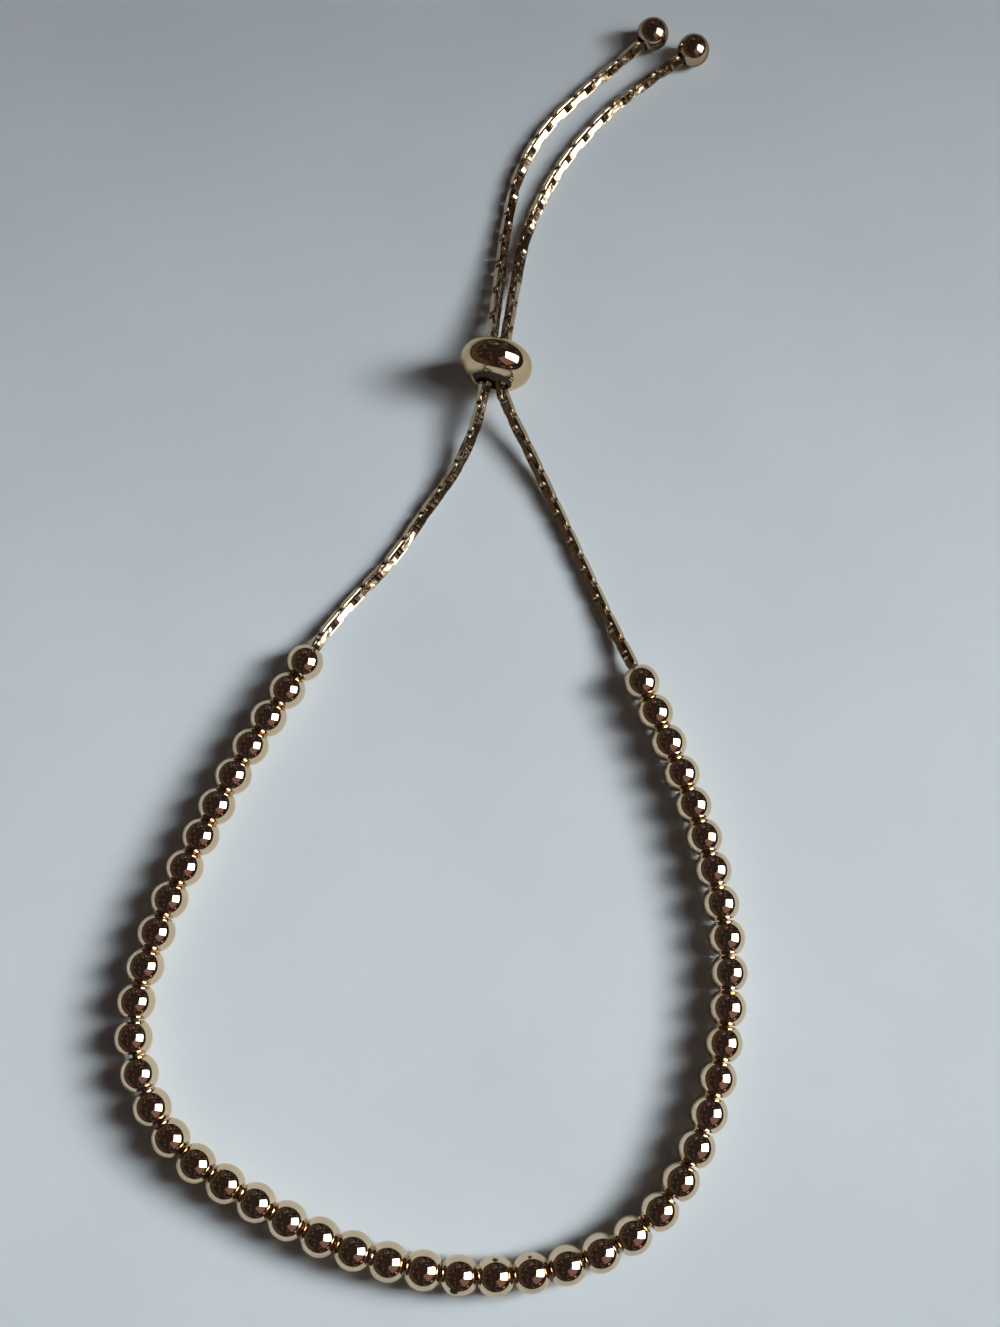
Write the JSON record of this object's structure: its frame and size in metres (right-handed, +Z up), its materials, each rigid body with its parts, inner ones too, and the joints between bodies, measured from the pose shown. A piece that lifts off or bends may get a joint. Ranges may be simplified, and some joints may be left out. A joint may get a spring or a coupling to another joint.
{
  "type": "bolo slider bracelet",
  "caption": "Adjustable bracelet: a string of round polished beads, closed by fine chains that run through a gripping slider bead and end in small balls.",
  "frame": {"origin": "middle of the bounding box, on the surface that the bracelet lies on", "axes": "+Y from the string of beads to the free ends of the chains, +Z up from the surface, +X to the right"},
  "size_m": [0.0544, 0.1214, 0.0069],
  "materials": {
    "bead_metal": "mirror polished, pale yellow gold colour",
    "chain_metal": "polished, pale yellow gold colour, darker in the links",
    "slider_metal": "mirror polished, pale yellow gold colour",
    "ball_metal": "mirror polished, pale yellow gold colour",
    "rubber": "satin, dark brown",
    "thread": "plain grey thread"
  },
  "bodies": {
    "root": {"bead_01": "bead_metal", "bead_02": "bead_metal", "bead_03": "bead_metal", "bead_04": "bead_metal", "bead_05": "bead_metal", "bead_06": "bead_metal", "bead_07": "bead_metal", "bead_08": "bead_metal", "bead_09": "bead_metal", "bead_10": "bead_metal", "bead_11": "bead_metal", "bead_12": "bead_metal", "bead_13": "bead_metal", "bead_14": "bead_metal", "bead_15": "bead_metal", "bead_16": "bead_metal", "bead_17": "bead_metal", "bead_18": "bead_metal", "bead_19": "bead_metal", "bead_20": "bead_metal", "bead_21": "bead_metal", "bead_22": "bead_metal", "bead_23": "bead_metal", "bead_24": "bead_metal", "bead_25": "bead_metal", "bead_26": "bead_metal", "bead_27": "bead_metal", "bead_28": "bead_metal", "bead_29": "bead_metal", "bead_30": "bead_metal", "bead_31": "bead_metal", "bead_32": "bead_metal", "bead_33": "bead_metal", "bead_34": "bead_metal", "bead_35": "bead_metal", "bead_36": "bead_metal", "bead_37": "bead_metal", "bead_38": "bead_metal", "bead_39": "bead_metal", "bead_40": "bead_metal", "bead_41": "bead_metal", "bead_42": "bead_metal", "bead_43": "bead_metal", "bead_44": "bead_metal", "bead_45": "bead_metal", "bead_46": "bead_metal", "bead_47": "bead_metal", "core": "thread", "strand_left": "chain_metal", "strand_right": "chain_metal", "slider": "slider_metal", "grip": "rubber", "end_ball_left": "ball_metal", "end_ball_right": "ball_metal"}
  },
  "joints": []
}
